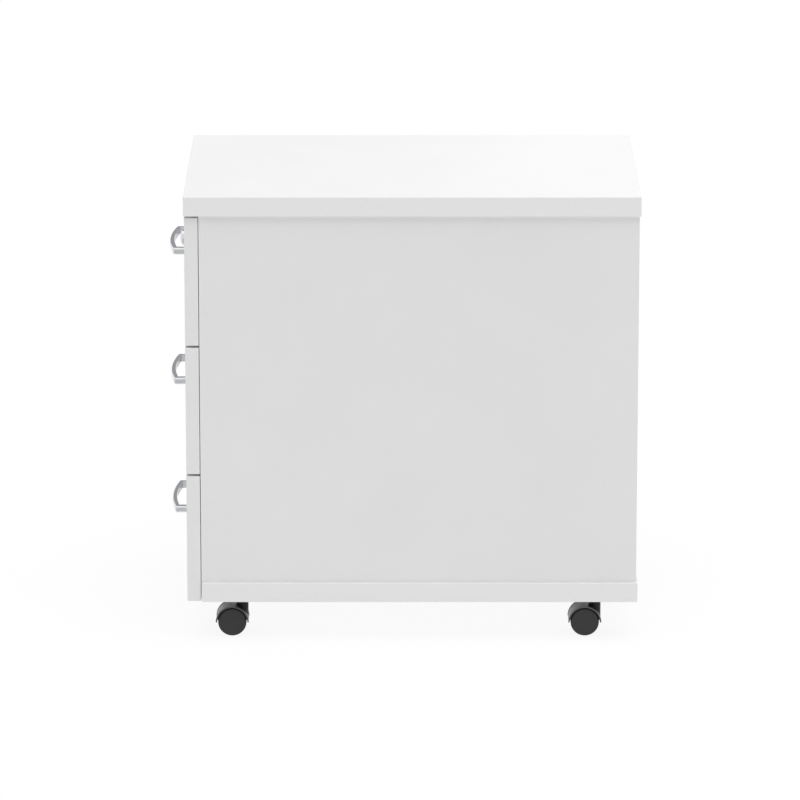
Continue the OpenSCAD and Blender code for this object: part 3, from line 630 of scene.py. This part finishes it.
# Painted shade on the stem: a darker colour here, and a weaker gloss below.
skin_with_painted_shade = add_node(tree, "ShaderNodeMix", {"data_type": "RGBA", 7: linear("#1a1a1b")},
                {0: painted_stem_shade.outputs["Result"], 6: tint.outputs[2]})
sheen_and_painted_shade = add_node(tree, "ShaderNodeMapRange", {"To Min": 0.85, "To Max": 0.2},
                 {"Value": painted_stem_shade.outputs["Result"]})
shader = add_node(tree, "ShaderNodeBsdfPrincipled", {"IOR": 1.53},
                  {"Base Color": skin_with_painted_shade.outputs[2], "Roughness": gloss.outputs["Result"],
                   "Specular IOR Level": sheen_and_painted_shade.outputs["Result"],
                   "Normal": grain.outputs["Normal"]})
add_node(tree, "ShaderNodeOutputMaterial", links={"Surface": shader.outputs["BSDF"]})

# The wheels are the same nylon, duller from use, with a slight scuff on the tread.
wheel_nylon, tree = new_material("moulded_nylon_matt")
place = add_node(tree, "ShaderNodeTexCoord").outputs["Object"]
scuff = add_node(tree, "ShaderNodeTexNoise", {"Scale": 1 / (3 * MM), "Detail": 5, "Roughness": 0.7},
                 {"Vector": place})
tint = add_node(tree, "ShaderNodeMix",
                {"data_type": "RGBA", 6: linear("#252527"), 7: linear("#2c2c2d")},
                {0: scuff.outputs["Fac"]})
gloss = add_node(tree, "ShaderNodeMapRange", {"To Min": 0.45, "To Max": 0.62},
                 {"Value": scuff.outputs["Fac"]})
shader = add_node(tree, "ShaderNodeBsdfPrincipled", {"IOR": 1.53, "Specular IOR Level": 0.4},
                  {"Base Color": tint.outputs[2], "Roughness": gloss.outputs["Result"]})
add_node(tree, "ShaderNodeOutputMaterial", links={"Surface": shader.outputs["BSDF"]})


def wheel(radius, width):
    """A wheel turned about Z: hollow inner side at Z = 0, rounded shoulder, dished outer face."""
    quarter = [math.pi / 2 * k / ARC_STEPS for k in range(ARC_STEPS + 1)]
    edge = [(radius - WHEEL_EDGE + WHEEL_EDGE * math.sin(a), WHEEL_EDGE - WHEEL_EDGE * math.cos(a))
            for a in quarter]
    shoulder = [(radius - WHEEL_SHOULDER + WHEEL_SHOULDER * math.cos(a),
                 width - WHEEL_SHOULDER + WHEEL_SHOULDER * math.sin(a)) for a in quarter]
    rim = radius - WHEEL_SHOULDER - WHEEL_RIM
    return lathe([(0, AXLE_DEPTH), (AXLE_HOLE, AXLE_DEPTH), (AXLE_HOLE, 0), (WHEEL_HUB, 0),
                  (WHEEL_HUB + WHEEL_DRAFT, WHEEL_HOLLOW), (radius - WHEEL_WALL, WHEEL_HOLLOW),
                  (radius - WHEEL_WALL + WHEEL_DRAFT, 0)] + edge + shoulder
                 + [(rim, width), (rim - WHEEL_DISH, width - WHEEL_DISH),
                    (0, width - WHEEL_DISH)], 72)


finish("caster_plates", zinc, PLATE_ROUNDING)
screw_low, screw_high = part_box("caster_screws")
plate_face = screw_low.z + PLATE_SCREW_PROUD
plate_screws = []
for corner in ("front_left", "front_right", "rear_left", "rear_right"):
    finish(f"caster_{corner}_hood", hood_nylon, HOOD_ROUNDING)
    low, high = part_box(f"caster_{corner}_hood")
    kingpin = Vector(((low.x + high.x) / 2, (low.y + high.y) / 2 + CASTER_TRAIL))
    plate_screws += [facing((0, 0, -1), kingpin.x + x * PLATE_SCREW_SPACING / 2,
                            kingpin.y + y * PLATE_SCREW_SPACING / 2, plate_face)
                     for x in (-1, 1) for y in (-1, 1)]
    finish(f"caster_{corner}_axle", bright_steel)
    for side, name in ((-1, "left"), (1, "right")):
        node = f"caster_{corner}_{name}_wheel"
        low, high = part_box(node)
        bm = wheel((high.z - low.z) / 2, high.x - low.x)
        place = facing((side, 0, 0), (low if side > 0 else high).x, (low.y + high.y) / 2,
                       (low.z + high.z) / 2)
        bmesh.ops.transform(bm, verts=bm.verts, matrix=place)
        soften(add_piece(node + "_tyre", bm, [wheel_nylon], node, [node]),
               WHEEL_ROUNDING, 2)
screw = pan_screw(PLATE_SCREW_RADIUS, PLATE_SCREW_HEAD, screw_high.z - plate_face,
                  PLATE_SCREW_PROUD)
crisp(add_piece("caster_plate_screws", copies(screw, plate_screws), [zinc], "carcass",
                ["caster_screws"]))

# Studio.
# A white light table that keeps a soft shadow, even light from all round and a soft lamp high
# above. Gloss doesn't see the lamp: it sees a softbox in its place, and two cards.
FLOOR_HALF = 60
FLOOR_SPAN = (-0.02, -0.0002)
ROUND_LIGHT = 0.44
LAMP_STRENGTH = 2.35
LAMP_WIDTH = 60
LAMP_TILT = (-4, 9)


def background_rays(tree):
    """1 for rays that show the background: from the camera, by gloss or through a clear piece."""
    path = add_node(tree, "ShaderNodeLightPath")
    shown = path.outputs["Is Camera Ray"]
    for kind in ("Is Glossy Ray", "Is Transmission Ray"):
        shown = add_node(tree, "ShaderNodeMath", {"operation": "MAXIMUM"},
                         {0: shown, 1: path.outputs[kind]}).outputs[0]
    return shown


def add_stand(name, bm, paint):
    """Turns a finished bmesh into a thing of the studio."""
    mesh = bpy.data.meshes.new(name)
    bm.to_mesh(mesh)
    bm.free()
    mesh.materials.append(paint)
    stand = bpy.data.objects.new(name, mesh)
    bpy.context.scene.collection.objects.link(stand)
    return stand


# Floor paint: matt white. It glows most for the rays that show the background, so that the
# table looks as white as the backdrop and keeps only a faint shadow.
floor_paint, tree = new_material("floor_paint")
place = add_node(tree, "ShaderNodeTexCoord").outputs["Object"]
speck = add_node(tree, "ShaderNodeTexNoise", {"Scale": 4, "Detail": 1}, {"Vector": place})
tint = add_node(tree, "ShaderNodeMix",
                {"data_type": "RGBA", 6: linear("#eeeeee"), 7: linear("#f0f0f0")},
                {0: speck.outputs["Fac"]})
matt = add_node(tree, "ShaderNodeBsdfDiffuse", links={"Color": tint.outputs[2]})
glow = add_node(tree, "ShaderNodeEmission", {"Color": (1, 1, 1, 1), "Strength": 1})
share = add_node(tree, "ShaderNodeMapRange", {"To Min": 0.5, "To Max": 0.9},
                 {"Value": background_rays(tree)})
mixed = add_node(tree, "ShaderNodeMixShader", {},
                 {0: share.outputs[0], 1: matt.outputs[0], 2: glow.outputs[0]})
add_node(tree, "ShaderNodeOutputMaterial", links={"Surface": mixed.outputs[0]})
bm = prism([(-FLOOR_HALF, -FLOOR_HALF), (FLOOR_HALF, -FLOOR_HALF), (FLOOR_HALF, FLOOR_HALF),
            (-FLOOR_HALF, FLOOR_HALF)], "Z", FLOOR_SPAN)
floor = add_stand("floor", bm, floor_paint)

# Cards and softbox: even paint that lights nothing and that only gloss sees. A dark card stands
# behind the handles and a paler one lies before them, so that the chrome has something to show.
# Each has the axis that it faces along, two corners across that axis and its span, in metres.
for name, axis, low, high, span, dark, light, strength in (
        ("card_behind", "X", (-1.2, 0.55), (0.1, 6), (-2.52, -2.5), "#a4a4a5", "#acacad", 1),
        ("card_before", "Z", (0.25, -1.8), (9, 0), (0.002, 0.004), "#d6d7d2", "#dcddd8", 1),
        ("softbox", "Z", (-3, -3.3), (3, 2.7), (5.6, 5.62), "#fafafa", "#ffffff", 1.4)):
    card_paint, tree = new_material(name + "_paint")
    place = add_node(tree, "ShaderNodeTexCoord").outputs["Object"]
    brush = add_node(tree, "ShaderNodeTexNoise", {"Scale": 6, "Detail": 1}, {"Vector": place})
    tint = add_node(tree, "ShaderNodeMix",
                    {"data_type": "RGBA", 6: linear(dark), 7: linear(light)},
                    {0: brush.outputs["Fac"]})
    paint = add_node(tree, "ShaderNodeEmission", {"Strength": strength}, {"Color": tint.outputs[2]})
    add_node(tree, "ShaderNodeOutputMaterial", links={"Surface": paint.outputs[0]})
    bm = prism([low, (high[0], low[1]), high, (low[0], high[1])], axis, span)
    card = add_stand(name, bm, card_paint)
    card.visible_camera = False
    card.visible_diffuse = False
    card.visible_transmission = False
    card.visible_shadow = False

# World: weak, even light for the object, and a white backdrop for the rays that show it.
world = bpy.data.worlds.new("studio")
bpy.context.scene.world = world
world.use_nodes = True
tree = world.node_tree
tree.nodes.clear()
around = add_node(tree, "ShaderNodeBackground", {"Color": (1, 1, 1, 1), "Strength": ROUND_LIGHT})
backdrop = add_node(tree, "ShaderNodeBackground", {"Color": (1, 1, 1, 1), "Strength": 1})
mixed = add_node(tree, "ShaderNodeMixShader", {},
                 {0: background_rays(tree), 1: around.outputs[0], 2: backdrop.outputs[0]})
add_node(tree, "ShaderNodeOutputWorld", links={"Surface": mixed.outputs[0]})

# Lamp: wide and soft, tilted a little towards the side that the camera sees.
lamp = bpy.data.lights.new("overhead", "SUN")
lamp.energy = LAMP_STRENGTH
lamp.angle = math.radians(LAMP_WIDTH)
overhead = bpy.data.objects.new("overhead", lamp)
overhead.visible_glossy = False
overhead.rotation_euler = (math.radians(LAMP_TILT[0]), math.radians(LAMP_TILT[1]), 0)
bpy.context.scene.collection.objects.link(overhead)

# Camera.
# Fitted to the photograph: far off on the right-hand side with a long lens, looking down.
CAMERA_SENSOR = 36
CAMERA_LENS = 252.85
CAMERA_REACH = 200
CAMERA_PLACE = (7.383, -0.00325, 2.162)
CAMERA_DOWN = 14.3
camera_data = bpy.data.cameras.new("camera")
camera_data.sensor_width = CAMERA_SENSOR
camera_data.lens = CAMERA_LENS
camera_data.clip_end = CAMERA_REACH
camera = bpy.data.objects.new("camera", camera_data)
camera.location = CAMERA_PLACE
camera.rotation_euler = (math.radians(90 - CAMERA_DOWN), 0, math.radians(90))
bpy.context.scene.collection.objects.link(camera)
bpy.context.scene.camera = camera
bpy.context.scene.view_settings.view_transform = "Standard"
